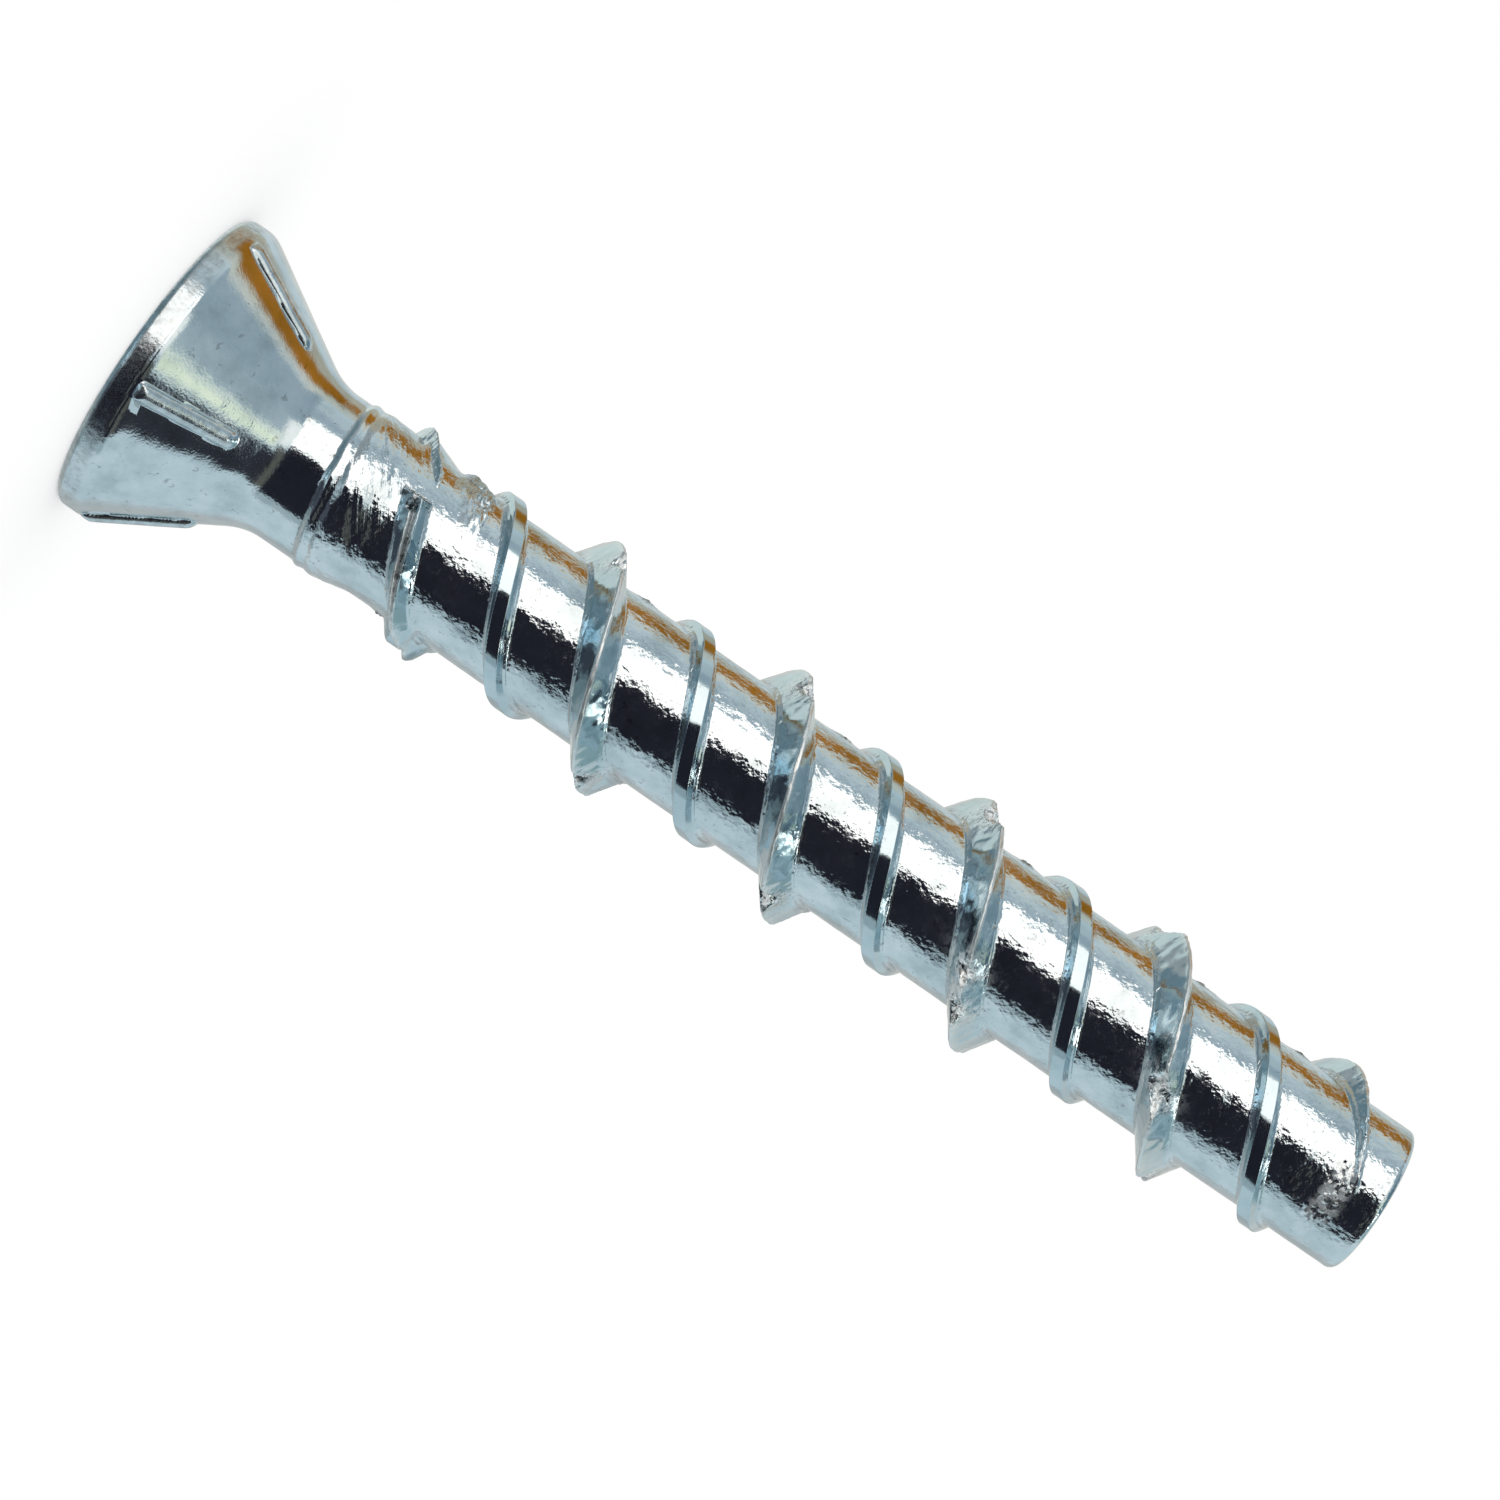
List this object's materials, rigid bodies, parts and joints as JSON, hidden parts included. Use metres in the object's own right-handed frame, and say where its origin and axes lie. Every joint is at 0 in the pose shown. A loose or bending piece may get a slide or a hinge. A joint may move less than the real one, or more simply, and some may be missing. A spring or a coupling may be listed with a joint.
{
  "type": "concrete screw",
  "caption": "Self-tapping countersunk concrete screw: ribbed head, plain neck, and alternating high and low threads that cut their own grip in a drilled hole.",
  "frame": {"origin": "centre of the flat head face, which the screw stands on", "axes": "+Z along the screw's axis from the head to the tip; -Y faces the camera of the picture"},
  "size_m": [0.016, 0.0158, 0.0691],
  "materials": {
    "zinc_plated_steel": "bright blue-white zinc plating over cold-formed carbon steel"
  },
  "bodies": {
    "root": {"concrete_screw": "zinc_plated_steel"}
  },
  "joints": []
}
